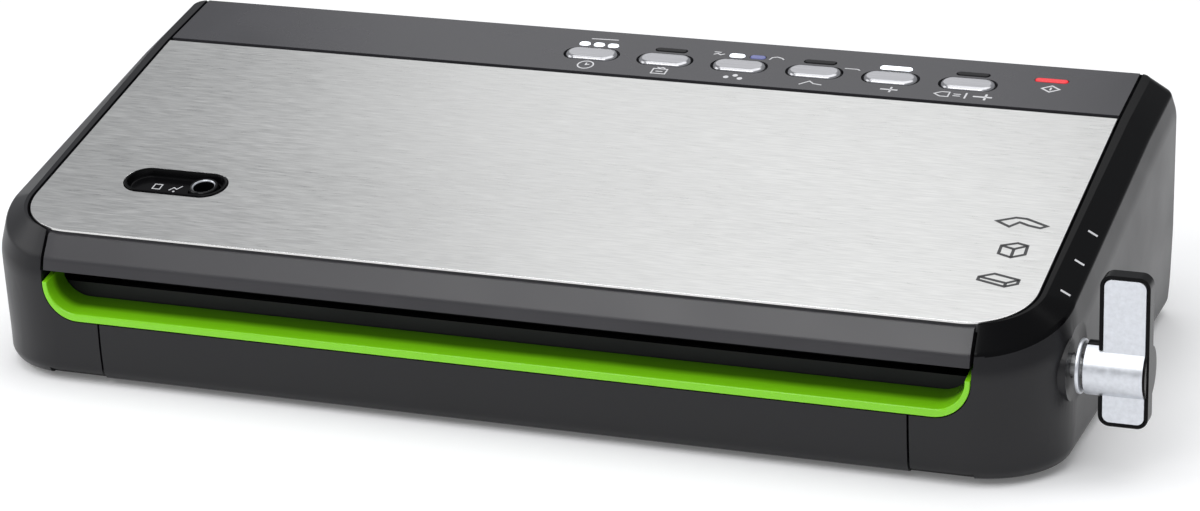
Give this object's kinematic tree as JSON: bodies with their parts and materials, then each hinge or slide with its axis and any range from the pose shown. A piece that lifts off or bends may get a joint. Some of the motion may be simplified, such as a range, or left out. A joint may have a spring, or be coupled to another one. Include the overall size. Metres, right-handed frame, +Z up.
{
  "type": "vacuum sealer",
  "caption": "Countertop vacuum sealer with a hinged steel-clad lid, a bag slot along the front, push buttons behind the lid and a latch lever on its right end.",
  "frame": {"origin": "middle of the whole footprint, lever and cord gland included, on the surface that the feet stand on", "axes": "+X along the bag slot towards the lever, +Y from the slot to the back, +Z up"},
  "size_m": [0.436, 0.2018, 0.0949],
  "materials": {
    "shell": "satin black moulded plastic",
    "panel": "satin dark grey lacquer",
    "lid_trim": "satin dark grey moulded plastic",
    "steel": "brushed along its length",
    "green": "gloss lime green",
    "silver": "satin silver paint",
    "gloss_black": "gloss black",
    "inner_black": "fine textured black",
    "rubber": "matt black",
    "foam": "closed-cell foam, matt",
    "heater_tape": "woven non-stick tape, satin",
    "circuit_board": "green solder mask",
    "copper": "varnished winding and laminations",
    "zinc": "zinc plated steel",
    "clear": "clear moulded plastic",
    "red_lens": "translucent red"
  },
  "bodies": {
    "base": {"base_pan": "shell", "end_cap_right": "shell", "end_cap_left": "shell", "rear_cover": "shell", "cord_gland": "rubber", "control_panel": "panel", "deck": "inner_black", "bag_shelf": "green", "heater_bar": "inner_black", "heater_strip": "heater_tape", "lower_gasket": "foam", "drip_tray": "inner_black", "cutter_rail": "inner_black", "lid_switch": "inner_black", "lever_collar": "silver", "pump_motor": "zinc", "pump_block": "inner_black", "pump_head_upper": "inner_black", "pump_head_lower": "inner_black", "vacuum_hose": "clear", "main_board": "circuit_board", "transformer": "copper", "button_membrane": "rubber", "button_board": "circuit_board", "light_guide": "clear", "warning_lens": "red_lens", "foot_front_left": "rubber", "foot_front_right": "rubber", "foot_rear_left": "rubber", "foot_rear_right": "rubber"},
    "lid": {"lid_frame": "lid_trim", "lid_skin": "steel", "lid_liner": "inner_black", "upper_gasket": "foam", "seal_pad": "rubber", "lid_catch_right": "inner_black", "lid_catch_left": "inner_black", "hinge_pin_right": "zinc", "hinge_pin_left": "zinc", "port_bezel": "gloss_black", "accessory_port": "silver"},
    "lever": {"lever_handle": "silver", "lever_back": "gloss_black", "lever_crank": "zinc"},
    "latch_link": {"latch_link": "zinc"},
    "latch_bar": {"cross_shaft": "zinc", "latch_hook_right": "inner_black", "latch_hook_left": "inner_black"},
    "pump_rotor": {"pump_shaft": "zinc"},
    "cutter": {"cutter_carriage": "green", "cutter_blade": "zinc"},
    "button_1": {"button_1": "silver"},
    "button_2": {"button_2": "silver"},
    "button_3": {"button_3": "silver"},
    "button_4": {"button_4": "silver"},
    "button_5": {"button_5": "silver"},
    "button_6": {"button_6": "silver"}
  },
  "joints": [
    {"name": "lid_hinge", "type": "hinge", "parent": "base", "child": "lid", "pos_m": [-0.01285, 0.04265, 0.08414], "axis": [-1, 0, 0], "range_deg": [0, 70]},
    {"name": "lever_turn", "type": "hinge", "parent": "base", "child": "lever", "pos_m": [0.19215, -0.07055, 0.0375], "axis": [-1, 0, 0], "range_deg": [0, 75]},
    {"name": "link_pivot", "type": "hinge", "parent": "lever", "child": "latch_link", "pos_m": [0.16815, -0.06828, 0.04621], "axis": [-1, 0, 0], "range_deg": [-76, 0]},
    {"name": "latch_turn", "type": "hinge", "parent": "base", "child": "latch_bar", "pos_m": [-0.01285, -0.04675, 0.014], "axis": [-1, 0, 0], "range_deg": [0, 76]},
    {"name": "pump_turn", "type": "hinge", "parent": "base", "child": "pump_rotor", "pos_m": [-0.02485, 0.06325, 0.045], "axis": [-1, 0, 0], "continuous": true},
    {"name": "cutter_slide", "type": "slide", "parent": "base", "child": "cutter", "axis": [-1, 0, 0], "range_m": [0, 0.27]},
    {"name": "button_1_press", "type": "slide", "parent": "base", "child": "button_1", "axis": [0, 0.1662, -0.9861], "range_m": [0, 0.0014], "stiffness_N_per_m": 600},
    {"name": "button_2_press", "type": "slide", "parent": "base", "child": "button_2", "axis": [0, 0.1662, -0.9861], "range_m": [0, 0.0014], "stiffness_N_per_m": 600},
    {"name": "button_3_press", "type": "slide", "parent": "base", "child": "button_3", "axis": [0, 0.1662, -0.9861], "range_m": [0, 0.0014], "stiffness_N_per_m": 600},
    {"name": "button_4_press", "type": "slide", "parent": "base", "child": "button_4", "axis": [0, 0.1662, -0.9861], "range_m": [0, 0.0014], "stiffness_N_per_m": 600},
    {"name": "button_5_press", "type": "slide", "parent": "base", "child": "button_5", "axis": [0, 0.1662, -0.9861], "range_m": [0, 0.0014], "stiffness_N_per_m": 600},
    {"name": "button_6_press", "type": "slide", "parent": "base", "child": "button_6", "axis": [0, 0.1662, -0.9861], "range_m": [0, 0.0014], "stiffness_N_per_m": 600}
  ],
  "couplings": [
    {"joint": "link_pivot", "follows": "lever_turn", "ratio": -1},
    {"joint": "latch_turn", "follows": "lever_turn", "ratio": 1}
  ]
}
